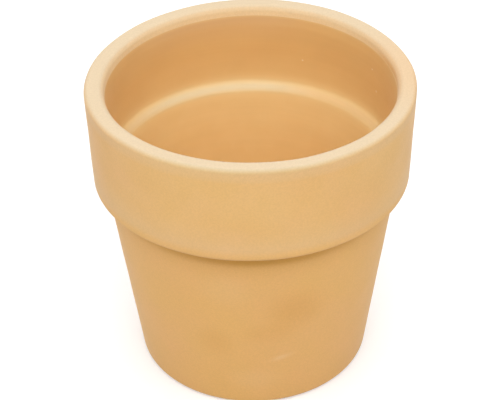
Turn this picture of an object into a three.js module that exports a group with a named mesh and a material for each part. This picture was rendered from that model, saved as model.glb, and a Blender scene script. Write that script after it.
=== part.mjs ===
// Plant-pot cover (cachepot) of fired clay, with a plain collar, a closed floor and a watertight coat inside.
// Millimetres, +Z up. The pot stands on Z = 0 and its axis is the Z axis.
// Every outline lies in the plane of radius and height, and is turned about the axis.

import * as THREE from 'three';

// Driving sizes of the outside
const rimRadius = 65;
const potHeight = 128;
const collarDepth = 41.9; // from the lip down to the shoulder
const collarLean = 1.2; // how much wider the collar is at the lip than at the shoulder
const shoulderWidth = 4.6; // how far the collar stands out past the body below it
const footRadius = 48; // the body's side, carried down to the surface that the pot stands on

// Driving sizes of the clay
const collarWall = 6.6; // at the shoulder; the collar's inner wall is upright, so it thickens to the lip
const bodyWall = 4.8;
const floorThickness = 6;
const ledgeRise = 5.6; // height of the inner ledge above the shoulder outside
const ledgeFall = 1.8; // how much the ledge drops across its width
const lipBevelHeight = 4.1; // the lip's inner side leans outwards over this height
const lipBevelWidth = 0.6;
const footRingWidth = 8;
const recessDepth = 1.5; // hollow of the underside within the foot ring
const recessRun = 1.5; // width of the slope from the foot ring up to the hollow

// Driving size of the watertight coat, which reaches from the floor up to the foot of the lip's bevel
const coatThickness = 0.4;

// Roundings
const lipOuterRounding = 1.7;
const lipInnerRounding = 2.6;
const collarEdgeRounding = 1.4;
const creaseRounding = 0.6;
const footOuterRounding = 2.8;
const footInnerRounding = 0.6;
const recessRounding = 1;
const ledgeCornerRounding = 3.6;
const ledgeEdgeRounding = 2.6;
const floorRounding = 9;

// Fineness
const turnSegments = 72;
const arcStep = THREE.MathUtils.degToRad(24);
const fullestSide = 0.95; // the most of a straight side that the roundings at its two ends may take up

// Heights and radii that follow from the driving sizes
const shoulderHeight = potHeight - collarDepth;
const collarLowRadius = rimRadius - collarLean;
const bodyTopRadius = collarLowRadius - shoulderWidth;
const mouthRadius = collarLowRadius - collarWall;
const footRingRadius = footRadius - footRingWidth;
const floorHeight = recessDepth + floorThickness;
const ledgeHeight = shoulderHeight + ledgeRise;
const coatTop = potHeight - lipBevelHeight;

/** Radius of the body's outer side at a height. */
function bodyRadiusAt(height) {
  return THREE.MathUtils.mapLinear(height, 0, shoulderHeight, footRadius, bodyTopRadius);
}

/** How far an outline turns at one of its corners, in radians: positive to the left. */
function turnAt(corners, index) {
  if (index === 0 || index === corners.length - 1) return 0;
  const incoming = new THREE.Vector2().subVectors(corners[index].at, corners[index - 1].at);
  const outgoing = new THREE.Vector2().subVectors(corners[index + 1].at, corners[index].at);
  return Math.atan2(incoming.cross(outgoing), incoming.dot(outgoing));
}

/** How far each rounding runs along its corner's two sides, cut back where two would meet on a side. */
function roundingReaches(corners) {
  const wanted = corners.map((corner, index) =>
    corner.rounding * Math.tan(Math.abs(turnAt(corners, index)) / 2));
  const roomBetween = (here, next) => {
    const length = corners[here].at.distanceTo(corners[next].at);
    return (fullestSide * length) / Math.max(wanted[here] + wanted[next], fullestSide * length);
  };
  return wanted.map((reach, index) => {
    const before = index > 0 ? roomBetween(index - 1, index) : 1;
    const after = index < corners.length - 1 ? roomBetween(index, index + 1) : 1;
    return reach * Math.min(before, after);
  });
}

/** Points of the arc that rounds one corner of an outline, from the side before it to the side after it. */
function roundedCorner(corners, index, reach) {
  const turn = turnAt(corners, index);
  const corner = corners[index].at;
  const incoming = new THREE.Vector2().subVectors(corner, corners[index - 1].at).normalize();
  const radius = reach / Math.tan(turn / 2);
  const start = corner.clone().addScaledVector(incoming, -reach);
  const centre = new THREE.Vector2(-incoming.y, incoming.x).multiplyScalar(radius).add(start);
  const steps = Math.max(2, Math.ceil(Math.abs(turn) / arcStep));
  return Array.from({ length: steps + 1 }, (_, step) =>
    start.clone().rotateAround(centre, (turn * step) / steps));
}

/** Turns corners, each with a place and a rounding, into the points of one smooth outline. */
function roundedOutline(corners) {
  const reaches = roundingReaches(corners);
  return corners.flatMap((corner, index) =>
    reaches[index] > 0 ? roundedCorner(corners, index, reaches[index]) : [corner.at.clone()]);
}

/** One corner of an outline. */
function cornerAt(radius, height, rounding = 0) {
  return { at: new THREE.Vector2(radius, height), rounding };
}

/** Outside of the pot, from the middle of the underside to the top of the lip's bevel. */
function outsideCorners() {
  return [
    cornerAt(0, recessDepth),
    cornerAt(footRingRadius - recessRun, recessDepth, recessRounding),
    cornerAt(footRingRadius, 0, footInnerRounding),
    cornerAt(footRadius, 0, footOuterRounding),
    cornerAt(bodyTopRadius, shoulderHeight, creaseRounding),
    cornerAt(collarLowRadius, shoulderHeight, collarEdgeRounding),
    cornerAt(rimRadius, potHeight, lipOuterRounding),
    cornerAt(mouthRadius + lipBevelWidth, potHeight, lipInnerRounding),
  ];
}

/**
 * Inside of the pot, from the foot of the lip's bevel down to the middle of the floor.
 * The inset is how far the surface lies inside the bare clay: 0 for the clay itself.
 */
function insideCorners(inset) {
  const ledgeInnerRadius = bodyTopRadius - bodyWall - inset;
  const floorRadius = bodyRadiusAt(floorHeight) - bodyWall - inset;
  return [
    cornerAt(mouthRadius - inset, coatTop),
    cornerAt(mouthRadius - inset, ledgeHeight + inset, ledgeCornerRounding - inset),
    cornerAt(ledgeInnerRadius, ledgeHeight - ledgeFall + inset, ledgeEdgeRounding + inset),
    cornerAt(floorRadius, floorHeight + inset, floorRounding - inset),
    cornerAt(0, floorHeight + inset),
  ];
}

/** A solid turned about the Z axis from a closed outline that starts and ends on the axis. */
function turnedPiece(name, outline, material) {
  const geometry = new THREE.LatheGeometry(outline, turnSegments);
  geometry.rotateX(Math.PI / 2);
  const piece = new THREE.Mesh(geometry, material);
  piece.name = name;
  return piece;
}

/** The fired clay pot: foot ring, tapered body, collar, rounded lip and closed floor in one piece. */
function clayPot(clayInside) {
  const bevelFoot = cornerAt(mouthRadius, coatTop);
  const clayOutside = roundedOutline([...outsideCorners(), bevelFoot]);
  const material = new THREE.MeshStandardMaterial({ color: 0xe2b57e, roughness: 0.85, metalness: 0 });
  return turnedPiece('clay_pot', [...clayOutside, ...clayInside.slice(1)], material);
}

/** The watertight coat: a skin that covers the clay from the floor to the foot of the lip's bevel. */
function watertightCoat(clayInside) {
  const clayFace = clayInside.toReversed();
  const waterFace = roundedOutline(insideCorners(coatThickness));
  const material = new THREE.MeshStandardMaterial({ color: 0xdcab70, roughness: 0.6, metalness: 0 });
  return turnedPiece('watertight_coat', [...clayFace, ...waterFace], material);
}

const clayInside = roundedOutline(insideCorners(0));
const cachepot = new THREE.Group();
cachepot.name = 'cachepot';
cachepot.add(clayPot(clayInside), watertightCoat(clayInside));

export default cachepot;
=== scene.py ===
"""A ceramic cachepot of pale orange fired clay: the clay pot, and the matt sealing coat on its inside.

Sizes are in metres, with +Z up. The pot stands on Z = 0 and its axis is the Z axis. An outline lies in the
plane of radius and height, and each piece is its own outline carried once round the axis.
"""

from __future__ import annotations

import logging
import math
from collections.abc import Sequence
from dataclasses import dataclass
from enum import Enum
from typing import Any

import bpy
import numpy as np
from mathutils import Matrix, Vector


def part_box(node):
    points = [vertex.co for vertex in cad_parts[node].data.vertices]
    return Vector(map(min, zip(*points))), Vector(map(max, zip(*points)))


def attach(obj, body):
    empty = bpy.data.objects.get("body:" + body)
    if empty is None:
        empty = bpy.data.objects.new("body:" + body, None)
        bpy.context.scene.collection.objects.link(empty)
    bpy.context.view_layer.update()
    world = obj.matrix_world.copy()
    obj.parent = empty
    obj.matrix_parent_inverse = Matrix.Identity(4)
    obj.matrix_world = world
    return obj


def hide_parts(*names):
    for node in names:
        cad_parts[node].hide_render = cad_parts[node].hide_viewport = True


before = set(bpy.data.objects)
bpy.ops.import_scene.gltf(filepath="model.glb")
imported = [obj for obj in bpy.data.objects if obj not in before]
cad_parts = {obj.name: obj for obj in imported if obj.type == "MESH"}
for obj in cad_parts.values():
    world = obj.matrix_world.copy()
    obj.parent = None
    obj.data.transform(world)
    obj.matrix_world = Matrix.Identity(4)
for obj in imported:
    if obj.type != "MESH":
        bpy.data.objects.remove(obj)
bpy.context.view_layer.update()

MM = 0.001
FULL_TURN = 2 * math.pi
WHITE = (1, 1, 1, 1)
Socket = bpy.types.NodeSocket
Tree = bpy.types.NodeTree
log = logging.getLogger("cachepot")


class Skin(Enum):
    """The finishes of the record, by the name of their slot."""

    FIRED_CLAY = "fired_clay"
    MATT_COAT = "clear_matt_coat"


class Band(Enum):
    """What a mesh keeps for each ring of the pot, so that the materials can follow the outline."""

    ALONG = "along"
    # Share of the lip's paler tone, which paints part of the lip's highlight, and of a paler band above the
    # collar's lower edge.
    LIP_TONE = "wiped"
    # Share of the bevel's pale tone, which paints part of the highlight on the lip's inner side.
    BEVELLED = "bevelled"
    # Share of the painted shade in the crease under the collar.
    CREASE_SHADE = "crease_shade"
    # Share of the painted shade on the rim's outer rounding.
    RIM_SHADE = "rim_shading"
    PALER_BELOW = "paler_below"
    # Share of the painted shade on the wall just under the lip.
    UNDER_LIP_SHADE = "under_lip_shade"
    # Share of the painted light round the ledge and along the coat's upper edge.
    PAINTED_LIGHT = "painted_light"
    # Share of the ledge's painted highlight.
    LEDGE_HIGHLIGHT = "ledge"


def linear_colour(hex_code: str) -> tuple[float, float, float, float]:
    """Turns an sRGB colour into the linear one that a shader takes.

    Args:
        hex_code: six hex digits, red first.

    Returns:
        Linear red, green and blue, with full opacity.
    """
    levels = [int(hex_code[start : start + 2], 16) / 255 for start in (0, 2, 4)]
    linear = [level / 12.92 if level <= 0.04045 else ((level + 0.055) / 1.055) ** 2.4 for level in levels]
    return (*linear, 1.0)


def add_node(
    tree: Tree,
    kind: str,
    settings: dict[str, Any] | None = None,
    sockets: dict[str | int, Any] | None = None,
) -> bpy.types.Node:
    """Adds one node with its settings and links.

    Args:
        tree: the node tree that the node goes into.
        kind: the node's type.
        settings: the node's own settings, by name.
        sockets: what each input holds, by name or number: a value, or the output that feeds it.

    Returns:
        The new node.
    """
    node = tree.nodes.new(kind)
    for name, value in (settings or {}).items():
        setattr(node, name, value)
    for name, value in (sockets or {}).items():
        if isinstance(value, Socket):
            tree.links.new(value, node.inputs[name])
        else:
            node.inputs[name].default_value = value
    return node


# Shapes


@dataclass(frozen=True)
class Corner:
    """One corner of an outline, and the radius that rounds it."""

    radius: float
    height: float
    rounding: float = 0.0


def rounded_outline(corners: Sequence[Corner], arc_step: float, fullest_side: float) -> np.ndarray:
    """Rounds the corners of an outline.

    Each corner gives way to the arc that touches both of its sides. The arc reaches along each side by its
    radius times the tangent of half the turn, and by less where two arcs would meet on one side.

    Args:
        corners: the outline's corners in order.
        arc_step: the widest angle between two points of an arc, in radians.
        fullest_side: the most of a side that the arcs at its two ends may take up.

    Returns:
        The outline's points, one row of radius and height each.
    """
    at = np.array([(corner.radius, corner.height) for corner in corners])
    sides = np.diff(at, axis=0)
    lengths = np.hypot(*sides.T)
    ways = sides / lengths[:, None]
    turns = np.zeros(len(at))
    turns[1:-1] = np.arctan2(
        ways[:-1, 0] * ways[1:, 1] - ways[:-1, 1] * ways[1:, 0], (ways[:-1] * ways[1:]).sum(axis=1)
    )
    wanted = np.array([corner.rounding for corner in corners]) * np.tan(abs(turns) / 2)
    room = fullest_side * lengths / np.maximum(wanted[:-1] + wanted[1:], fullest_side * lengths)
    reaches = wanted * np.minimum(np.append(1, room), np.append(room, 1))
    stretches = []
    for index, (corner, turn, reach) in enumerate(zip(at, turns, reaches)):
        if reach == 0:
            stretches.append(corner[None])
            continue
        start = corner - ways[index - 1] * reach
        left = np.array([-ways[index - 1, 1], ways[index - 1, 0]])
        centre = start + left * reach / math.tan(turn / 2)
        angles = np.linspace(0, turn, math.ceil(abs(turn) / arc_step) + 1)
        spoke = start - centre
        turned = (
            spoke[0] * np.cos(angles) - spoke[1] * np.sin(angles),
            spoke[0] * np.sin(angles) + spoke[1] * np.cos(angles),
        )
        stretches.append(centre + np.stack(turned, axis=1))
    return np.concatenate(stretches)


def closer_points(outline: np.ndarray, spacing: float) -> np.ndarray:
    """Adds points on the straight sides of an outline.

    Each side is cut into the fewest equal lengths that are no longer than the spacing.

    Args:
        outline: rows of radius and height.
        spacing: the longest distance between two points.

    Returns:
        The same outline with more rows.
    """
    lengths = np.hypot(*np.diff(outline, axis=0).T)
    along = np.append(0, np.cumsum(lengths))
    counts = np.maximum(1, np.ceil(lengths / spacing)).astype(int)
    steps = np.repeat(np.diff(along) / counts, counts)
    order = np.arange(counts.sum()) - np.repeat(np.cumsum(counts) - counts, counts)
    at = np.append(order * steps + np.repeat(along[:-1], counts), along[-1])
    return np.stack([np.interp(at, along, outline[:, column]) for column in (0, 1)], axis=1)


def smooth_step(low: float, high: float, value: np.ndarray) -> np.ndarray:
    """Rises from 0 at low to 1 at high as three squares less two cubes of the share of the way."""
    share = np.clip((value - low) / (high - low), 0, 1)
    return share * share * (3 - 2 * share)


@dataclass(frozen=True)
class Fade:
    """A share that changes in straight runs between stops.

    Attributes:
        stops: for each stop a distance in millimetres, and the share there.
    """

    stops: tuple[tuple[float, float], ...]

    def at(self, distance: np.ndarray) -> np.ndarray:
        """The share at each distance in metres."""
        return np.interp(distance / MM, *zip(*self.stops))


@dataclass(frozen=True)
class PotSizes:
    """Driving sizes of the pot, and the corners that follow from them.

    The rim's width and the pot's height come from the frame.
    """

    rim_width: float
    pot_height: float
    collar_depth: float = 41.9 * MM
    collar_lean: float = 1.2 * MM
    shoulder_width: float = 4.6 * MM
    foot_radius: float = 48 * MM
    collar_wall: float = 6.6 * MM
    body_wall: float = 4.8 * MM
    floor_thickness: float = 6 * MM
    ledge_rise: float = 5.6 * MM
    ledge_fall: float = 1.8 * MM
    lip_bevel_height: float = 4.1 * MM
    lip_bevel_width: float = 0.6 * MM
    foot_ring_width: float = 8 * MM
    recess_depth: float = 1.5 * MM
    recess_run: float = 1.5 * MM
    coat_thickness: float = 0.4 * MM
    lip_outer_rounding: float = 1.7 * MM
    lip_inner_rounding: float = 2.6 * MM
    bevel_foot_rounding: float = 2.4 * MM
    collar_edge_rounding: float = 1.4 * MM
    crease_rounding: float = 0.6 * MM
    foot_outer_rounding: float = 2.8 * MM
    foot_inner_rounding: float = 0.6 * MM
    recess_rounding: float = 1 * MM
    ledge_corner_rounding: float = 3.6 * MM
    ledge_edge_rounding: float = 2.6 * MM
    floor_rounding: float = 9 * MM
    arc_step: float = math.radians(9)
    fullest_side: float = 0.95
    fine_spacing: float = 1.1 * MM
    coarse_spacing: float = 4 * MM

    @classmethod
    def of_node(cls, node: str) -> PotSizes:
        """Takes the rim's width and the pot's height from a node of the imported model."""
        low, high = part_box(node)
        return cls(rim_width=high.x - low.x, pot_height=high.z - low.z)

    @property
    def rim_radius(self) -> float:
        """Radius of the rim's outer corner, before its rounding takes a little off the leaning collar."""
        return self.rim_width / 2 + self.lip_outer_rounding * self.collar_lean / self.collar_depth

    @property
    def shoulder_height(self) -> float:
        """Height of the underside of the collar."""
        return self.pot_height - self.collar_depth

    @property
    def ledge_height(self) -> float:
        """Height of the inner ledge, where it meets the collar's inner wall."""
        return self.shoulder_height + self.ledge_rise

    @property
    def collar_low_radius(self) -> float:
        """Outer radius of the collar at the shoulder."""
        return self.rim_radius - self.collar_lean

    @property
    def body_top_radius(self) -> float:
        """Outer radius of the body just under the collar."""
        return self.collar_low_radius - self.shoulder_width

    @property
    def mouth_radius(self) -> float:
        """Radius of the collar's upright inner wall."""
        return self.collar_low_radius - self.collar_wall

    @property
    def floor_height(self) -> float:
        """Height of the bare clay floor."""
        return self.recess_depth + self.floor_thickness

    @property
    def coat_top(self) -> float:
        """Height of the foot of the lip's bevel, where the coat ends."""
        return self.pot_height - self.lip_bevel_height

    def body_radius_at(self, height: float) -> float:
        """Outer radius of the tapered body at a height."""
        return self.foot_radius + (self.body_top_radius - self.foot_radius) * height / self.shoulder_height

    def outside_corners(self) -> list[Corner]:
        """Places the corners of the outside.

        Returns:
            The corners from the middle of the underside to the top of the lip's bevel.
        """
        ring_radius = self.foot_radius - self.foot_ring_width
        return [
            Corner(0, self.recess_depth),
            Corner(ring_radius - self.recess_run, self.recess_depth, self.recess_rounding),
            Corner(ring_radius, 0, self.foot_inner_rounding),
            Corner(self.foot_radius, 0, self.foot_outer_rounding),
            Corner(self.body_top_radius, self.shoulder_height, self.crease_rounding),
            Corner(self.collar_low_radius, self.shoulder_height, self.collar_edge_rounding),
            Corner(self.rim_radius, self.pot_height, self.lip_outer_rounding),
            Corner(self.mouth_radius + self.lip_bevel_width, self.pot_height, self.lip_inner_rounding),
        ]

    def inside_corners(self, inset: float) -> list[Corner]:
        """Places the corners of the inside.

        Args:
            inset: how far the surface lies inside the bare clay.

        Returns:
            The corners from the foot of the lip's bevel down to the middle of the floor.
        """
        floor_radius = self.body_radius_at(self.floor_height) - self.body_wall - inset
        ledge_inner_radius = self.body_top_radius - self.body_wall - inset
        ledge_foot = self.ledge_height - self.ledge_fall + inset
        return [
            Corner(self.mouth_radius - inset, self.coat_top, self.bevel_foot_rounding),
            Corner(self.mouth_radius - inset, self.ledge_height + inset, self.ledge_corner_rounding - inset),
            Corner(ledge_inner_radius, ledge_foot, self.ledge_edge_rounding + inset),
            Corner(floor_radius, self.floor_height + inset, self.floor_rounding - inset),
            Corner(0, self.floor_height + inset),
        ]

    def smooth(self, corners: Sequence[Corner]) -> np.ndarray:
        """The rounded outline of some corners."""
        return rounded_outline(corners, self.arc_step, self.fullest_side)


@dataclass(frozen=True)
class Wave:
    """One wave round the axis: its size times the cosine of its count times the angle less its crest.

    Attributes:
        count: how many crests it has round the pot, or 0 for a shift that is the same all round.
        size: how high a crest is.
        crest: the angle of one crest, in degrees.
    """

    count: int
    size: float
    crest: float = 0.0

    def at(self, angle: np.ndarray) -> np.ndarray:
        """The wave at each angle in radians."""
        return self.size * np.cos(self.count * (angle - math.radians(self.crest)))


@dataclass(frozen=True)
class Unevenness:
    """How far the fired pot strays from a true turned form. All pieces share it, so they stay face to face.

    The radius grows by a sum of waves, weighted by a power of the share of the pot's height, and by a fine
    ripple. The lip's height follows waves of its own in the same way. The core that formed the inside stood a
    little off the middle, which is one more wave, on the inside alone. The ledge dips at the front and the
    back, which fades away from it as a bell curve does. The growth in radius fades out near the axis.
    """

    pot_height: float
    ledge_height: float
    rim_waves: tuple[Wave, ...] = (Wave(1, 0.1 * MM, -15), Wave(2, 0.1 * MM, 8), Wave(3, 0.32 * MM, -27))
    rim_power: float = 1.5
    lip_waves: tuple[Wave, ...] = (Wave(1, 0.07 * MM, -115), Wave(2, 0.29 * MM, 57))
    lip_power: float = 6.0
    core_waves: tuple[Wave, ...] = (Wave(1, 0.36 * MM, -48),)
    ledge_waves: tuple[Wave, ...] = (Wave(0, -0.35 * MM), Wave(2, 0.35 * MM, 3))
    ledge_reach: float = 12 * MM
    ripple_size: float = 0.035 * MM
    ripple_counts: tuple[int, ...] = (5, 7, 9, 12, 14)
    ripple_pitch: float = 23 * MM
    ripple_start: float = 0.25
    calm_radius: float = 20 * MM
    seed: int = 7

    @staticmethod
    def _sum(waves: Sequence[Wave], angle: np.ndarray) -> np.ndarray:
        """What some waves come to together at each angle."""
        return sum(wave.at(angle) for wave in waves)

    def strayed(
        self, radius: np.ndarray, angle: np.ndarray, height: np.ndarray, inside: np.ndarray
    ) -> tuple[np.ndarray, np.ndarray]:
        """Moves the points of a true turned surface to where the fired pot has them.

        Args:
            radius: distance from the axis.
            angle: angle round the axis.
            height: height above the foot.
            inside: 1 where the surface belongs to the inside and 0 where it belongs to the outside.

        Returns:
            The new radius and the new height.
        """
        share = np.clip(height / self.pot_height, 0, 1)
        phases = np.random.default_rng(self.seed).uniform(0, FULL_TURN, (len(self.ripple_counts), 2))
        ripple = sum(
            np.cos(count * angle + across) * np.cos(height / self.ripple_pitch * FULL_TURN + up)
            for count, (across, up) in zip(self.ripple_counts, phases)
        )
        waves = self._sum(self.rim_waves, angle) + inside * self._sum(self.core_waves, angle)
        rippled = self.ripple_size * ripple * np.minimum(1, share / self.ripple_start)
        spread = share**self.rim_power * waves + rippled
        near_axis = np.minimum(1, radius / self.calm_radius)
        near_ledge = inside * np.exp(-(((height - self.ledge_height) / self.ledge_reach) ** 2))
        lip_lift = share**self.lip_power * self._sum(self.lip_waves, angle)
        lift = lip_lift + near_ledge * self._sum(self.ledge_waves, angle)
        return radius + spread * near_axis, height + lift


@dataclass
class TurnedPiece:
    """A closed surface: an outline that starts and ends on the axis, carried once round it.

    Attributes:
        name: the piece's name.
        outline: rows of radius and height.
        unevenness: how far the piece strays from a true turned form.
        inside: for each row 1 on the pot's inside and 0 on its outside.
        bands: for each band one value for each row.
        segments: how many steps the turn is made in.
        sharp_angle: the angle past which two faces meet at a sharp edge, in radians.
    """

    name: str
    outline: np.ndarray
    unevenness: Unevenness
    inside: np.ndarray
    bands: dict[Band, np.ndarray]
    segments: int = 256
    sharp_angle: float = math.radians(40)

    def build(self) -> bpy.types.Object:
        """Makes the mesh.

        A point at angle a and place s on the outline lies at (r cos a, r sin a, h), where r and h are the
        outline's radius and height at s, moved by the unevenness. Each end of the outline is one point on the
        axis, joined to its ring by a fan of triangles. All the mesh's points on a ring keep that ring's value
        of each band for the materials, and its distance along the outline.

        Returns:
            The new object, linked to the scene.
        """
        rings = self.outline[1:-1]
        steps = np.hypot(*np.diff(self.outline, axis=0).T)
        along = np.append(0, np.cumsum(steps))
        angle = np.arange(self.segments) * FULL_TURN / self.segments
        inside = self.inside[1:-1, None]
        radius, height = self.unevenness.strayed(rings[:, :1], angle[None], rings[:, 1:], inside)
        grid = np.stack([radius * np.cos(angle), radius * np.sin(angle), height + 0 * angle], axis=-1)
        poles = np.array([(0, 0, self.outline[0, 1]), (0, 0, self.outline[-1, 1])])
        points = np.concatenate([grid.reshape(-1, 3), poles])

        ring_count = len(rings)
        index = np.arange(ring_count * self.segments).reshape(ring_count, self.segments)
        following = np.roll(index, -1, axis=1)
        quads = np.stack([index[:-1], following[:-1], following[1:], index[1:]], axis=-1).reshape(-1, 4)
        first_pole = np.full(self.segments, ring_count * self.segments)
        low_fan = np.stack([first_pole, following[0], index[0]], axis=-1)
        high_fan = np.stack([first_pole + 1, index[-1], following[-1]], axis=-1)

        mesh = bpy.data.meshes.new(self.name)
        mesh.from_pydata(points.tolist(), [], quads.tolist() + low_fan.tolist() + high_fan.tolist())
        mesh.shade_smooth()
        mesh.set_sharp_from_angle(angle=self.sharp_angle)
        for band, values in {Band.ALONG: along, **self.bands}.items():
            on_points = np.append(np.repeat(values[1:-1], self.segments), values[[0, -1]])
            kept = mesh.attributes.new(band.value, "FLOAT", "POINT")
            kept.data.foreach_set("value", on_points.astype(np.float32))
        mesh.update()
        piece = bpy.data.objects.new(self.name, mesh)
        bpy.context.scene.collection.objects.link(piece)
        return piece


# Finishes


@dataclass(frozen=True)
class Spot:
    """A soft round patch on a turned surface, stretched across or up it.

    Attributes:
        angle: angle round the axis, in degrees.
        height: height above the foot.
        width: half the patch's width.
        tall: half the patch's height.
        strength: how much of its tone shows in its middle.
        tilt: turn of the patch on the surface, in degrees.
    """

    angle: float
    height: float
    width: float
    tall: float
    strength: float = 1.0
    tilt: float = 0.0

    def mask(self, tree: Tree, place: Socket, radius: float) -> Socket:
        """Fades from the strength in the middle to 0 at the edge.

        Args:
            tree: the node tree.
            place: the coordinates that the patch is drawn in.
            radius: the surface's radius at the patch.

        Returns:
            The mask's output.
        """
        turn = math.radians(self.angle)
        middle = (radius * math.cos(turn), radius * math.sin(turn), self.height)
        local = add_node(
            tree,
            "ShaderNodeMapping",
            {"vector_type": "TEXTURE"},
            {
                "Vector": place,
                "Location": middle,
                "Rotation": (0, math.radians(self.tilt), turn + math.pi / 2),
                "Scale": (self.width, radius, self.tall),
            },
        ).outputs[0]
        away = add_node(tree, "ShaderNodeVectorMath", {"operation": "LENGTH"}, {0: local}).outputs["Value"]
        return add_node(
            tree,
            "ShaderNodeMapRange",
            {"interpolation_type": "SMOOTHERSTEP"},
            {"Value": away, "From Min": 1.0, "From Max": 0.0, "To Max": self.strength},
        ).outputs[0]


@dataclass(frozen=True)
class Sides:
    """The left and the right of the pot.

    Attributes:
        start: distance from the middle at which the sides begin.
        end: distance from the middle at which they are reached.
        middle: where the middle is, across the pot.
    """

    start: float
    end: float
    middle: float = 0.0

    def mask(self, tree: Tree, place: Socket) -> Socket:
        """Rises from 0 round the middle to 1 at both sides.

        Args:
            tree: the node tree.
            place: the coordinates that the sides are told in.

        Returns:
            The mask's output.
        """
        across = add_node(tree, "ShaderNodeSeparateXYZ", None, {0: place}).outputs["X"]
        sockets = {0: across, 1: self.middle}
        off = add_node(tree, "ShaderNodeMath", {"operation": "SUBTRACT"}, sockets).outputs[0]
        distance = add_node(tree, "ShaderNodeMath", {"operation": "ABSOLUTE"}, {0: off}).outputs[0]
        return add_node(
            tree,
            "ShaderNodeMapRange",
            {"interpolation_type": "SMOOTHSTEP"},
            {"Value": distance, "From Min": self.start, "From Max": self.end},
        ).outputs[0]


@dataclass(frozen=True)
class Marks:
    """Soft marks of one size, all over a surface.

    Attributes:
        size: the marks' size.
        detail: how many finer layers they have.
        shift: distance that keeps them apart from other marks.
    """

    size: float
    detail: float
    shift: float

    def spread(self, tree: Tree, place: Socket) -> Socket:
        """Spreads the marks over a surface.

        Args:
            tree: the node tree.
            place: the coordinates that the marks are drawn in.

        Returns:
            A value that swings round 0.5.
        """
        away = (self.shift, -self.shift, self.shift / 2)
        at = add_node(tree, "ShaderNodeVectorMath", {"operation": "ADD"}, {0: place, 1: away}).outputs[0]
        sockets = {"Vector": at, "Scale": 1 / self.size, "Detail": self.detail}
        return add_node(tree, "ShaderNodeTexNoise", None, sockets).outputs["Fac"]


@dataclass(frozen=True)
class ClayTexture:
    """Sizes of the marks that pressing, wiping and firing leave in clay, and how deep they are.

    The grain of such clay is about 0.2 mm and would not show from a step away, so it is drawn at 0.7 mm.
    All marks swing round 0.5, and seldom past the swing's two ends.
    """

    clouds: Marks = Marks(size=42 * MM, detail=2.0, shift=0.0)
    patches: Marks = Marks(size=11 * MM, detail=3.0, shift=1.7)
    grain: Marks = Marks(size=0.7 * MM, detail=2.0, shift=3.1)
    dents: Marks = Marks(size=5 * MM, detail=1.0, shift=4.3)
    wipe_pitch: float = 1.7 * MM
    wipe_length: float = 60 * MM
    wipe_detail: float = 1.0
    grain_depth: float = 0.018 * MM
    dent_depth: float = 0.05 * MM
    wipe_depth: float = 0.012 * MM
    swing: tuple[float, float] = (0.3, 0.7)


@dataclass(frozen=True)
class DrySkin:
    """How the dry skin of clay takes the light.

    Attributes:
        roughness: the lowest and the highest roughness.
        sheen: how much light the skin scatters at grazing angles.
        sheen_roughness: how broadly it scatters it.
        ior: index of refraction.
    """

    roughness: tuple[float, float]
    sheen: float
    sheen_roughness: float
    ior: float = 1.5


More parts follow.
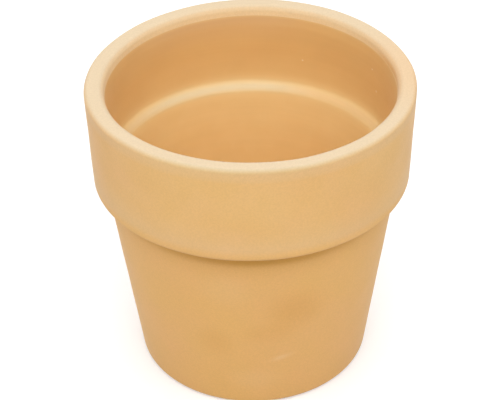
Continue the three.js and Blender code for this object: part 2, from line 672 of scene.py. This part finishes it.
class ClaySurface:
    """A material of fired clay: the tree, the coordinates and the marks that both finishes share."""

    def __init__(self, name: str, texture: ClayTexture, bands: Sequence[Band]) -> None:
        """Starts a material that has no shader yet.

        Args:
            name: the real material's name.
            texture: sizes and depths of the clay's marks.
            bands: what the material reads of the mesh's rings.
        """
        self.material = bpy.data.materials.new(name)
        self.material.use_nodes = True
        self.tree = self.material.node_tree
        self.tree.nodes.clear()
        self.texture = texture
        self.place = add_node(self.tree, "ShaderNodeTexCoord").outputs["Object"]
        self.bands = {
            band: add_node(self.tree, "ShaderNodeAttribute", {"attribute_name": band.value}).outputs["Fac"]
            for band in (Band.ALONG, *bands)
        }
        self.clouds = texture.clouds.spread(self.tree, self.place)
        self.patches = texture.patches.spread(self.tree, self.place)
        self.grain = texture.grain.spread(self.tree, self.place)
        self.dents = texture.dents.spread(self.tree, self.place)
        self.wiping = self._wiping()

    def _wiping(self) -> Socket:
        """Draws faint lines round the pot, which the sponge left as the pot turned under it.

        Returns:
            A value that swings round 0.5.
        """
        tree, texture = self.tree, self.texture
        round_pot = (1 / texture.wipe_length, 1 / texture.wipe_length, 0)
        flat = add_node(
            tree, "ShaderNodeVectorMath", {"operation": "MULTIPLY"}, {0: self.place, 1: round_pot}
        ).outputs[0]
        sockets = {0: self.bands[Band.ALONG], 1: texture.wipe_pitch}
        line = add_node(tree, "ShaderNodeMath", {"operation": "DIVIDE"}, sockets).outputs[0]
        lifted = add_node(tree, "ShaderNodeCombineXYZ", None, {"Z": line}).outputs[0]
        at = add_node(tree, "ShaderNodeVectorMath", {"operation": "ADD"}, {0: flat, 1: lifted}).outputs[0]
        sockets = {"Vector": at, "Scale": 1.0, "Detail": texture.wipe_detail}
        return add_node(tree, "ShaderNodeTexNoise", None, sockets).outputs["Fac"]

    def swings(self, **ranges: tuple[Socket, tuple[float, float]]) -> dict[str, Socket]:
        """Lets marks swing between two values of their own instead of round 0.5, soft at both ends.

        Args:
            ranges: for each swing's name the marks, and the lowest and the highest value.

        Returns:
            The output of each swing, by name.
        """
        low_mark, high_mark = self.texture.swing
        return {
            name: add_node(
                self.tree,
                "ShaderNodeMapRange",
                {"interpolation_type": "SMOOTHSTEP"},
                {"Value": marks, "From Min": low_mark, "From Max": high_mark, "To Min": low, "To Max": high},
            ).outputs[0]
            for name, (marks, (low, high)) in ranges.items()
        }

    def layered(self, base: str | Socket, layers: Sequence[tuple[str | Socket, float | Socket]]) -> Socket:
        """Lays tones over a colour, one after another.

        Args:
            base: the colour at the bottom: an output, or the hex digits of an sRGB colour.
            layers: for each tone the tone, told as the base is, and how much of it shows.

        Returns:
            The colour that comes of them.
        """
        colour = base
        for layer, share in layers:
            tones = (linear_colour(tone) if isinstance(tone, str) else tone for tone in (colour, layer))
            sockets = {"Factor": share, **dict(zip((6, 7), tones))}
            colour = add_node(self.tree, "ShaderNodeMix", {"data_type": "RGBA"}, sockets).outputs[2]
        return colour

    def relief(self) -> Socket:
        """Raises the surface's small relief: dents, then wiping lines, then grain, each on the one before.

        Returns:
            The normal of the uneven surface.
        """
        texture = self.texture
        normal = {}
        for marks, depth in (
            (self.dents, texture.dent_depth),
            (self.wiping, texture.wipe_depth),
            (self.grain, texture.grain_depth),
        ):
            sockets = {"Height": marks, "Distance": depth, "Strength": 1.0, **normal}
            normal = {"Normal": add_node(self.tree, "ShaderNodeBump", None, sockets).outputs[0]}
        return normal["Normal"]

    def finished(self, colour: Socket, shade: Socket, roughness: Socket, skin: DrySkin) -> bpy.types.Material:
        """Joins colour, roughness and relief in the shader.

        Args:
            colour: the base colour.
            shade: a factor round 1 that makes the colour lighter or darker.
            roughness: the roughness.
            skin: how the clay's skin takes the light.

        Returns:
            The finished material.
        """
        sockets = {0: colour, "Scale": shade}
        shaded = add_node(self.tree, "ShaderNodeVectorMath", {"operation": "SCALE"}, sockets).outputs[0]
        sockets = {
            "Base Color": shaded,
            "Roughness": roughness,
            "Normal": self.relief(),
            "IOR": skin.ior,
            "Sheen Weight": skin.sheen,
            "Sheen Roughness": skin.sheen_roughness,
        }
        shader = add_node(self.tree, "ShaderNodeBsdfPrincipled", None, sockets).outputs[0]
        add_node(self.tree, "ShaderNodeOutputMaterial", None, {"Surface": shader})
        return self.material


@dataclass(frozen=True)
class BisqueClay:
    """Bisque terracotta: pale orange-buff clay, pressed in a mould, fired once and left bare.

    Firing leaves faint clouds of rosier and yellower tone, and the body a little deeper than the collar. The
    lip's paler, greyer tone and the bevel's pale tone paint part of the highlight on the lip. The crease
    under the collar and the front of the rim's outer rounding are darker as painted shade. The dry skin
    scatters light at grazing angles, so edges look paler.
    """

    name: str = "bisque_terracotta"
    body: str = "E0AD64"
    collar: str = "E0B372"
    collar_run: float = 9 * MM
    waver: tuple[float, float] = (-3 * MM, 3 * MM)
    # The lip's paler, greyer tone: painted highlight for the lip's top and roundings.
    lip: str = "D4BE9D"
    # The bevel's pale tone: painted highlight for the lip's inner side.
    bevel: str = "ECCFA0"
    rosy: str = "E1AA6F"
    rosy_share: tuple[float, float] = (0.0, 0.4)
    ochre: str = "DCAE68"
    ochre_share: tuple[float, float] = (0.0, 0.3)
    deep: str = "D09748"
    clouds: tuple[Spot, ...] = (
        Spot(angle=-72.5, height=53.5 * MM, width=19 * MM, tall=17 * MM, strength=0.42),
        Spot(angle=-107, height=36 * MM, width=12 * MM, tall=12 * MM, strength=0.26),
        Spot(angle=-84, height=42 * MM, width=17 * MM, tall=9 * MM, strength=0.24),
    )
    scuffed: str = "EBCB9C"
    scuffs: tuple[Spot, ...] = (
        Spot(angle=-77.5, height=27.2 * MM, width=9 * MM, tall=2.6 * MM, strength=0.17, tilt=-14),
        Spot(angle=-78.3, height=27 * MM, width=4 * MM, tall=1.8 * MM, strength=0.17, tilt=-14),
        Spot(angle=-90, height=15 * MM, width=17 * MM, tall=10 * MM, strength=0.1),
        Spot(angle=-101, height=66 * MM, width=17 * MM, tall=13 * MM, strength=0.1),
    )
    # Painted shade: a darker tone in the crease under the collar, fading down the body, with less of it at
    # the left and right.
    crease: str = "B78121"
    crease_shade_spread: float = 0.72
    crease_shade_sides: Sides = Sides(start=5 * MM, end=58 * MM)
    # Painted shade on the front of the rim's outer rounding: how much of its red, green and blue it keeps.
    rim_shade_factor: tuple[float, float, float] = (0.915, 0.965, 0.975)
    rim_shade_front: Spot = Spot(angle=-90, height=127 * MM, width=80 * MM, tall=20 * MM)
    rim_blush: Spot = Spot(angle=5, height=127 * MM, width=46 * MM, tall=9 * MM, strength=0.25)
    stained: str = "DFB273"
    rim_stain: Spot = Spot(angle=9, height=124.6 * MM, width=25 * MM, tall=2 * MM)
    graining: tuple[float, float] = (0.97, 1.03)
    texture: ClayTexture = ClayTexture()
    skin: DrySkin = DrySkin(roughness=(0.78, 0.88), sheen=0.17, sheen_roughness=0.4)

    def material(self, sizes: PotSizes) -> bpy.types.Material:
        """Builds the material.

        The body's tone goes over to the collar's at a shoulder line that wavers. Over both lie the clouds of
        the firing, the scuffs, the painted shade of the crease, and the bevel's and the lip's paler tones,
        which paint part of the lip's highlight. The rim shade factor tells how much of its red, green and
        blue the front of the rim keeps under its painted shade.

        Args:
            sizes: the pot's sizes, which the tones follow.

        Returns:
            The material.
        """
        bands_read = (Band.CREASE_SHADE, Band.BEVELLED, Band.LIP_TONE, Band.RIM_SHADE)
        surface = ClaySurface(self.name, self.texture, bands_read)
        tree, place, bands = surface.tree, surface.place, surface.bands
        swings = surface.swings(
            waver=(surface.clouds, self.waver),
            rosy=(surface.clouds, self.rosy_share),
            ochre=(surface.patches, self.ochre_share),
            graining=(surface.grain, self.graining),
            roughness=(surface.patches, self.skin.roughness),
        )
        level = add_node(tree, "ShaderNodeSeparateXYZ", None, {0: place}).outputs["Z"]
        sockets = {0: level, 1: swings["waver"]}
        height = add_node(tree, "ShaderNodeMath", {"operation": "ADD"}, sockets).outputs[0]
        collar_low = sizes.shoulder_height - self.collar_run
        collar_high = sizes.shoulder_height + self.collar_run
        on_collar = add_node(
            tree,
            "ShaderNodeMapRange",
            {"interpolation_type": "SMOOTHSTEP"},
            {"Value": height, "From Min": collar_low, "From Max": collar_high},
        ).outputs[0]
        spots = [
            (tone, spot.mask(tree, place, sizes.body_radius_at(spot.height)))
            for tone, marked in ((self.deep, self.clouds), (self.scuffed, self.scuffs))
            for spot in marked
        ]
        # Painted shade for the crease: its dark tone, with more of the body's tone towards the left and
        # right.
        crease_shade_side = surface.layered(self.crease, [(self.body, self.crease_shade_spread)])
        crease = surface.layered(self.crease, [(crease_shade_side, self.crease_shade_sides.mask(tree, place))])
        clay = surface.layered(
            self.body,
            [
                (self.collar, on_collar),
                (self.rosy, swings["rosy"]),
                (self.ochre, swings["ochre"]),
                *spots,
                (crease, bands[Band.CREASE_SHADE]),
                (self.bevel, bands[Band.BEVELLED]),
                (self.lip, bands[Band.LIP_TONE]),
            ],
        )
        # Painted shade on the front of the rim's outer rounding, then the rim's blush and stain.
        sockets = {0: clay, 1: self.rim_shade_factor}
        rim_shaded_colour = add_node(tree, "ShaderNodeVectorMath", {"operation": "MULTIPLY"}, sockets).outputs[0]
        sockets = {0: self.rim_shade_front.mask(tree, place, sizes.rim_radius), 1: bands[Band.RIM_SHADE]}
        rim_shading = add_node(tree, "ShaderNodeMath", {"operation": "MULTIPLY"}, sockets).outputs[0]
        rim_toned = surface.layered(
            clay,
            [
                (rim_shaded_colour, rim_shading),
                (self.rosy, self.rim_blush.mask(tree, place, sizes.rim_radius)),
                (self.stained, self.rim_stain.mask(tree, place, sizes.rim_radius)),
            ],
        )
        return surface.finished(rim_toned, swings["graining"], swings["roughness"], self.skin)


@dataclass(frozen=True)
class SealedClay:
    """The same terracotta under a clear matt sealer that soaks in: deeper in tone, and a touch of satin.

    The ledge is paler as painted highlight, and a pale tone round it and along the coat's upper edge is
    painted light. Below the ledge the wall is paler. Just under the lip, at the back, the wall is duller as
    painted shade. A few pale specks show.
    """

    name: str = "matt_sealed_terracotta"
    wall: str = "E0B473"
    # The paler tone of the wall below the ledge.
    lower: str = "EBC98C"
    rosy: str = "E2B072"
    rosy_share: tuple[float, float] = (0.0, 0.15)
    ochre: str = "E0B670"
    ochre_share: tuple[float, float] = (0.0, 0.15)
    # Painted shade on the upper wall under the lip, at the back.
    under_lip_shade: str = "DAB07C"
    # Painted light: a pale tone round the ledge and along the coat's upper edge.
    painted_light: str = "F3D89E"
    # Painted highlight on the ledge, as it shows at the back.
    ledge: str = "D7C59D"
    # The ledge's tone at the left and right, where its painted highlight gives way.
    ledge_side: str = "DDBC86"
    # Where the ledge's painted highlight and the painted shade under the lip give way, at the left and right.
    sides: Sides = Sides(start=18 * MM, end=45 * MM, middle=-12 * MM)
    # The tone of a few pale specks on the inside.
    pale_speck: str = "F2E0BE"
    specks: tuple[Spot, ...] = (
        Spot(angle=66.4, height=104.7 * MM, width=0.7 * MM, tall=0.6 * MM, strength=0.8),
        Spot(angle=27.8, height=114.9 * MM, width=0.9 * MM, tall=0.5 * MM, strength=0.7),
        Spot(angle=23.9, height=106.4 * MM, width=0.6 * MM, tall=0.9 * MM, strength=0.7, tilt=20),
    )
    wiped_shade: tuple[float, float] = (0.994, 1.006)
    texture: ClayTexture = ClayTexture(grain_depth=0.01 * MM, wipe_depth=0.008 * MM)
    skin: DrySkin = DrySkin(roughness=(0.55, 0.68), sheen=0.05, sheen_roughness=0.5)

    def material(self, sizes: PotSizes) -> bpy.types.Material:
        """Builds the material.

        The painted shade under the lip shows round the middle of the back and fades to the wall's own tone at
        the sides, as the ledge's painted highlight fades to a tone of its own there.

        Args:
            sizes: the pot's sizes, which the tones follow.

        Returns:
            The material.
        """
        bands_read = (Band.PALER_BELOW, Band.UNDER_LIP_SHADE, Band.PAINTED_LIGHT, Band.LEDGE_HIGHLIGHT)
        surface = ClaySurface(self.name, self.texture, bands_read)
        tree, place, bands = surface.tree, surface.place, surface.bands
        swings = surface.swings(
            rosy=(surface.clouds, self.rosy_share),
            ochre=(surface.patches, self.ochre_share),
            wiped=(surface.wiping, self.wiped_shade),
            roughness=(surface.patches, self.skin.roughness),
        )
        wall = surface.layered(
            self.wall,
            [
                (self.lower, bands[Band.PALER_BELOW]),
                (self.rosy, swings["rosy"]),
                (self.ochre, swings["ochre"]),
            ],
        )
        aside = self.sides.mask(tree, place)
        # Painted shade under the lip, which goes over to the wall's own tone at the sides.
        under_lip_shade = surface.layered(self.under_lip_shade, [(wall, aside)])
        # Painted highlight on the ledge, warmer at the sides.
        ledge = surface.layered(self.ledge, [(self.ledge_side, aside)])
        radius = sizes.mouth_radius - sizes.coat_thickness
        coat = surface.layered(
            wall,
            [
                (under_lip_shade, bands[Band.UNDER_LIP_SHADE]),
                (self.painted_light, bands[Band.PAINTED_LIGHT]),
                (ledge, bands[Band.LEDGE_HIGHLIGHT]),
                *((self.pale_speck, speck.mask(tree, place, radius)) for speck in self.specks),
            ],
        )
        return surface.finished(coat, swings["wiped"], swings["roughness"], self.skin)


# The pot's pieces


@dataclass
class ClayPot:
    """The fired clay: foot ring, tapered body, collar, lip, inner ledge and floor in one piece.

    The fades that follow the lip, the bevel and the rim go by the depth below the top, and those of the
    collar's lower edge and the crease by the depth below the shoulder.
    """

    sizes: PotSizes
    unevenness: Unevenness
    finish: BisqueClay = BisqueClay()
    node: str = "clay_pot"
    # Share of the lip's tone over its top and outer rounding: painted highlight.
    lip_tone_outside: Fade = Fade(((0, 1), (0.3, 0.75), (1.2, 0.25), (4.6, 0.15), (6, 0)))
    # Share of the lip's tone in a band a little above the collar's lower edge.
    pale_collar_edge: Fade = Fade((
        (-16, 0), (-10, 0.09), (-7, 0.16), (-5, 0.19), (-4, 0.13), (-3, 0.03), (-2.4, 0),
    ))
    # Share of the lip's tone down its inner rounding: painted highlight.
    lip_tone_inside: Fade = Fade(((0.3, 1), (0.9, 0.6), (1.8, 0.25), (3, 0)))
    # Share of the painted shade on the rim's outer rounding, which the material keeps to the front.
    rim_shade_fade: Fade = Fade(((0, 0), (0.08, 0.8), (0.3, 1), (1.2, 1), (1.6, 0.4), (2.2, 0)))
    # Share of the bevel's pale tone: painted highlight.
    bevel_highlight: Fade = Fade(((0.3, 0), (1.5, 0.9), (6, 1), (9, 0)))
    # Share of the crease's painted shade: a little on the collar's lower rounding, most just under the
    # collar, fading down the body.
    crease_shade_fade: Fade = Fade((
        (-3, 0), (-1.6, 0.09), (-0.5, 0.24), (0, 0.5), (2.6, 0.5), (3.2, 0.6), (3.7, 0.75),
        (4.2, 0.82), (4.5, 0.8), (5.5, 0.61), (6.4, 0.44), (7.5, 0.22), (10, 0.1), (14, 0),
    ))

    def outline(self) -> np.ndarray:
        """Draws the outline.

        Returns:
            Points from the middle of the underside out, over the lip and down to the middle of the floor.
        """
        sizes = self.sizes
        corners = sizes.outside_corners() + sizes.inside_corners(0)
        return closer_points(sizes.smooth(corners), sizes.fine_spacing)

    def inside(self, outline: np.ndarray) -> np.ndarray:
        """Tells the inside from the outside, with one going over to the other across the lip.

        Args:
            outline: the pot's outline.

        Returns:
            For each point 0 on the outside and 1 on the inside.
        """
        over_lip = smooth_step(-self.sizes.rim_radius, -self.sizes.mouth_radius, -outline[:, 0])
        near_top = outline[:, 1] > self.sizes.coat_top
        return np.where(near_top, over_lip, np.arange(len(outline)) > np.argmax(outline[:, 1]))

    def bands(self, outline: np.ndarray) -> dict[Band, np.ndarray]:
        """Works out the tones that each ring of the pot takes.

        The lip is paler, and its inner side is pale down to where the coat begins: these paler tones paint
        part of the lip's highlight. A band a little above the collar's lower edge is paler as well. The
        crease under the collar takes a painted shade that fades down the body, and the rim's outer rounding
        takes a painted shade that the material keeps to the front.

        Args:
            outline: the pot's outline.

        Returns:
            For each band one share for each point.
        """
        height = outline[:, 1]
        below_top = self.sizes.pot_height - height
        below_shoulder = self.sizes.shoulder_height - height
        order = np.arange(len(height))
        outer, inner = order < np.argmax(height), order > np.argmax(height)
        lip_tone_outside = self.lip_tone_outside.at(below_top) + self.pale_collar_edge.at(below_shoulder)
        return {
            Band.LIP_TONE: np.where(inner, self.lip_tone_inside.at(below_top), lip_tone_outside),
            Band.BEVELLED: np.where(inner, self.bevel_highlight.at(below_top), 0),
            Band.CREASE_SHADE: np.where(outer, self.crease_shade_fade.at(below_shoulder), 0),
            Band.RIM_SHADE: np.where(outer, self.rim_shade_fade.at(below_top), 0),
        }

    def build(self) -> bpy.types.Object:
        """Makes the pot, dresses it and puts it in the place of its node.

        Returns:
            The finished piece.
        """
        outline = self.outline()
        inside, bands = self.inside(outline), self.bands(outline)
        piece = TurnedPiece("fired_clay_pot", outline, self.unevenness, inside, bands).build()
        piece.data.materials.append(self.finish.material(self.sizes))
        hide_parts(self.node)
        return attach(piece, "root")


@dataclass
class SealingCoat:
    """The matt coat that seals the inside, made thinner towards its upper edge.

    Its fades go by the height above the ledge.
    """

    sizes: PotSizes
    unevenness: Unevenness
    finish: SealedClay = SealedClay()
    node: str = "watertight_coat"
    edge_thickness: float = 0.03 * MM
    thinned_over: float = 5 * MM
    # Share of the ledge's painted highlight.
    ledge_highlight: Fade = Fade((
        (-3.4, 0), (-2.4, 0.35), (-1.5, 0.8), (-1, 1), (-0.3, 0.95),
        (0.4, 0.6), (1, 0.35), (1.8, 0.15), (3, 0),
    ))
    # Share of the painted light round the ledge, a little below it, and along the coat's upper edge.
    painted_light_fade: Fade = Fade((
        (-22, 0), (-14, 0.15), (-7, 0.1), (-4.4, 0.25), (-3.2, 0.45), (-2.2, 0.85), (0, 1), (0.8, 0.85),
        (1.8, 0.55), (3, 0.3), (4.5, 0.08), (6, 0), (30.6, 0), (31.4, 0.1), (32.2, 0.4),
    ))
    # Share of the paler tone below the ledge.
    paler_below_fade: Fade = Fade(((-1, 1), (2.5, 0.85), (5.6, 0.5), (10, 0.25), (16, 0)))
    # Share of the painted shade under the lip.
    under_lip_shade_fade: Fade = Fade(((20, 0), (24, 0.25), (28, 0.45), (30, 0.7), (33, 0.85)))

    def outline(self) -> np.ndarray:
        """Draws the outline.

        Returns:
            Points from the middle of the floor out and up the clay, then back down the side that shows.
        """
        sizes = self.sizes
        clay_face = sizes.smooth(sizes.inside_corners(0))[::-1]
        water_corners = sizes.inside_corners(sizes.coat_thickness)
        water_face = closer_points(sizes.smooth(water_corners), sizes.fine_spacing)
        near_edge = smooth_step(sizes.coat_top - self.thinned_over, sizes.coat_top, water_face[:, 1])
        water_face[:, 0] += (sizes.coat_thickness - self.edge_thickness) * near_edge
        return closer_points(np.concatenate([clay_face, water_face]), sizes.coarse_spacing)

    def bands(self, outline: np.ndarray) -> dict[Band, np.ndarray]:
        """Works out the tones that each ring of the coat takes.

        The ledge takes a painted highlight, with painted light round it and along the coat's upper edge.
        Below the ledge the wall is paler, and just under the lip it takes a painted shade.

        Args:
            outline: the coat's outline.

        Returns:
            For each band one share for each point.
        """
        above_ledge = outline[:, 1] - self.sizes.ledge_height
        return {
            Band.LEDGE_HIGHLIGHT: self.ledge_highlight.at(above_ledge),
            Band.PAINTED_LIGHT: self.painted_light_fade.at(above_ledge),
            Band.PALER_BELOW: self.paler_below_fade.at(above_ledge),
            Band.UNDER_LIP_SHADE: self.under_lip_shade_fade.at(above_ledge),
        }

    def build(self) -> bpy.types.Object:
        """Makes the coat, dresses it and puts it in the place of its node.

        Returns:
            The finished piece.
        """
        outline = self.outline()
        inside, bands = np.ones(len(outline)), self.bands(outline)
        piece = TurnedPiece("sealing_coat", outline, self.unevenness, inside, bands).build()
        piece.data.materials.append(self.finish.material(self.sizes))
        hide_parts(self.node)
        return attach(piece, "root")


# Studio and camera


@dataclass(frozen=True)
class Softbox:
    """A broad round lamp that faces the pot.

    Attributes:
        name: the lamp's name.
        angle: angle from the front, to the right, in degrees.
        elevation: angle above the floor, in degrees.
        power: power in watts.
        width: the lamp's width.
        distance: how far it stands from the pot's foot.
    """

    name: str
    angle: float
    elevation: float
    power: float
    width: float = 1.2
    distance: float = 1.6

    def build(self) -> None:
        """Makes the lamp and turns it to the pot."""
        lamp = bpy.data.lights.new(self.name, "AREA")
        lamp.shape = "DISK"
        lamp.size = self.width
        lamp.energy = self.power
        angle, elevation = math.radians(self.angle), math.radians(self.elevation)
        run = math.cos(elevation)
        way = Vector((run * math.sin(angle), -run * math.cos(angle), math.sin(elevation)))
        holder = bpy.data.objects.new(self.name, lamp)
        turn = way.to_track_quat("Z", "Y").to_matrix().to_4x4()
        holder.matrix_world = Matrix.Translation(way * self.distance) @ turn
        bpy.context.scene.collection.objects.link(holder)


@dataclass
class SoftStudio:
    """A pale floor in even white surroundings, with two soft lamps in front, one behind and one at each side.

    Attributes:
        floor_radius: the floor's radius.
        floor_gap: how far the floor lies below the pot's foot, so that the two do not share a plane.
        floor_segments: how many sides the round floor has.
        floor_colour: the floor's own sRGB colour.
        floor_glow: how much white is added to the floor where it is seen.
        fade_start: distance from the pot's axis at which the floor begins to go over to white.
        fade_end: distance at which it is all white.
        world_strength: strength of the surroundings as a light.
        lamps: the soft lamps.
    """

    floor_radius: float = 3.0
    floor_gap: float = 0.2 * MM
    floor_segments: int = 96
    floor_colour: str = "DCDCDC"
    floor_glow: float = 0.36
    fade_start: float = 0.22
    fade_end: float = 0.6
    world_strength: float = 0.35
    lamps: tuple[Softbox, ...] = (
        Softbox("softbox_front", angle=0, elevation=66, power=14.6, width=1.6),
        Softbox("softbox_low", angle=0, elevation=40, power=5.0),
        Softbox("softbox_back", angle=180, elevation=60, power=9.2, width=1.6),
        Softbox("softbox_left", angle=-70, elevation=35, power=3.1),
        Softbox("softbox_right", angle=70, elevation=35, power=3.3),
    )

    def build(self) -> None:
        """Makes the surroundings, the floor and the lamps."""
        self._surroundings()
        self._floor()
        for lamp in self.lamps:
            lamp.build()

    @staticmethod
    def _seen(tree: Tree) -> Socket:
        """Picks the rays that show a background: from the camera, mirrored or let through.

        Args:
            tree: the node tree.

        Returns:
            1 for those rays and 0 for all others.
        """
        path = add_node(tree, "ShaderNodeLightPath").outputs
        sockets = {0: path["Is Camera Ray"], 1: path["Is Glossy Ray"]}
        either = add_node(tree, "ShaderNodeMath", {"operation": "MAXIMUM"}, sockets).outputs[0]
        sockets = {0: either, 1: path["Is Transmission Ray"]}
        return add_node(tree, "ShaderNodeMath", {"operation": "MAXIMUM"}, sockets).outputs[0]

    def _surroundings(self) -> None:
        """Makes a world that is white to the camera, and dimmer as a light."""
        world = bpy.data.worlds.new("light_tent")
        world.use_nodes = True
        tree = world.node_tree
        tree.nodes.clear()
        sockets = {"Value": self._seen(tree), "To Min": self.world_strength, "To Max": 1.0}
        strength = add_node(tree, "ShaderNodeMapRange", None, sockets).outputs[0]
        light = add_node(tree, "ShaderNodeBackground", None, {"Color": WHITE, "Strength": strength})
        add_node(tree, "ShaderNodeOutputWorld", None, {"Surface": light.outputs[0]})
        bpy.context.scene.world = world

    def _floor_paper(self) -> bpy.types.Material:
        """Builds white paper that takes the pot's shadow, and goes over to plain white away from it.

        A little white is added to it wherever it is seen, which keeps the shadow faint.

        Returns:
            The material.
        """
        material = bpy.data.materials.new("white_paper_floor")
        material.use_nodes = True
        tree = material.node_tree
        tree.nodes.clear()
        place = add_node(tree, "ShaderNodeTexCoord").outputs["Object"]
        away = add_node(tree, "ShaderNodeVectorMath", {"operation": "LENGTH"}, {0: place}).outputs["Value"]
        far = add_node(
            tree,
            "ShaderNodeMapRange",
            {"interpolation_type": "SMOOTHSTEP"},
            {"Value": away, "From Min": self.fade_start, "From Max": self.fade_end},
        ).outputs[0]
        seen = self._seen(tree)
        share = add_node(tree, "ShaderNodeMath", {"operation": "MULTIPLY"}, {0: far, 1: seen}).outputs[0]
        sockets = {0: seen, 1: self.floor_glow}
        glow = add_node(tree, "ShaderNodeMath", {"operation": "MULTIPLY"}, sockets).outputs[0]
        sockets = {"Color": linear_colour(self.floor_colour)}
        paper = add_node(tree, "ShaderNodeBsdfDiffuse", None, sockets).outputs[0]
        white = add_node(tree, "ShaderNodeEmission", None, {"Color": WHITE, "Strength": 1.0}).outputs[0]
        both = add_node(tree, "ShaderNodeMixShader", None, {0: share, 1: paper, 2: white}).outputs[0]
        added = add_node(tree, "ShaderNodeEmission", None, {"Color": WHITE, "Strength": glow}).outputs[0]
        lifted = add_node(tree, "ShaderNodeAddShader", None, {0: both, 1: added}).outputs[0]
        add_node(tree, "ShaderNodeOutputMaterial", None, {"Surface": lifted})
        return material

    def _floor(self) -> None:
        """Makes the floor: one flat face whose corners lie on a circle round the pot's axis."""
        angle = np.arange(self.floor_segments) * FULL_TURN / self.floor_segments
        edge = np.stack([np.cos(angle), np.sin(angle), 0 * angle], axis=1) * self.floor_radius
        edge[:, 2] = -self.floor_gap
        mesh = bpy.data.meshes.new("paper_floor")
        mesh.from_pydata(edge.tolist(), [], [list(range(self.floor_segments))])
        mesh.materials.append(self._floor_paper())
        floor = bpy.data.objects.new("paper_floor", mesh)
        bpy.context.scene.collection.objects.link(floor)


@dataclass
class PhotoCamera:
    """The camera of the photograph, which looks down on the pot from the front.

    Attributes:
        distance: how far it stands from the point that it aims at.
        elevation: how steeply it looks down, in radians.
        aim_height: height of the point on the pot's axis that it aims at.
        side_step: how far it stands to the left of the axis.
        roll: its turn about the line of sight, in radians.
        sensor_width: the sensor's width, in millimetres of film.
        focal_length: the lens's focal length, in millimetres of film.
        clip_end: how far it sees.
    """

    distance: float = 650 * MM
    elevation: float = math.radians(35.72)
    aim_height: float = 69.11 * MM
    side_step: float = 0.75 * MM
    roll: float = math.radians(-0.991)
    sensor_width: float = 36.0
    focal_length: float = 113.34
    clip_end: float = 20.0

    def build(self) -> bpy.types.Object:
        """Makes the camera and hands it to the scene.

        It stands at (-s, -d cos e, a + d sin e) for a side step s, distance d, elevation e and aim height a,
        looks along (0, cos e, -sin e), and is then rolled about that line.

        Returns:
            The camera.
        """
        rise, run = math.sin(self.elevation), math.cos(self.elevation)
        right, up, back = Vector((1, 0, 0)), Vector((0, rise, run)), Vector((0, -run, rise))
        rolled_right = right * math.cos(self.roll) + up * math.sin(self.roll)
        rolled_up = up * math.cos(self.roll) - right * math.sin(self.roll)
        camera = bpy.data.cameras.new("photo_camera")
        camera.sensor_fit = "HORIZONTAL"
        camera.sensor_width = self.sensor_width
        camera.lens = self.focal_length
        camera.clip_end = self.clip_end
        holder = bpy.data.objects.new("photo_camera", camera)
        place = Vector((-self.side_step, 0, self.aim_height)) + back * self.distance
        turn = Matrix((rolled_right, rolled_up, back)).transposed().to_4x4()
        holder.matrix_world = Matrix.Translation(place) @ turn
        bpy.context.scene.collection.objects.link(holder)
        bpy.context.scene.camera = holder
        return holder


def main() -> None:
    """Builds the camera, the studio and the pot in order."""
    logging.basicConfig(level=logging.INFO, format="%(name)s: %(message)s")
    bpy.context.scene.view_settings.view_transform = "Standard"
    PhotoCamera().build()
    SoftStudio().build()
    sizes = PotSizes.of_node("clay_pot")
    unevenness = Unevenness(sizes.pot_height, sizes.ledge_height)
    for part in (ClayPot(sizes, unevenness), SealingCoat(sizes, unevenness)):
        piece = part.build()
        log.info("%s stands for %s, with %d faces", piece.name, part.node, len(piece.data.polygons))


if __name__ == "__main__":
    main()
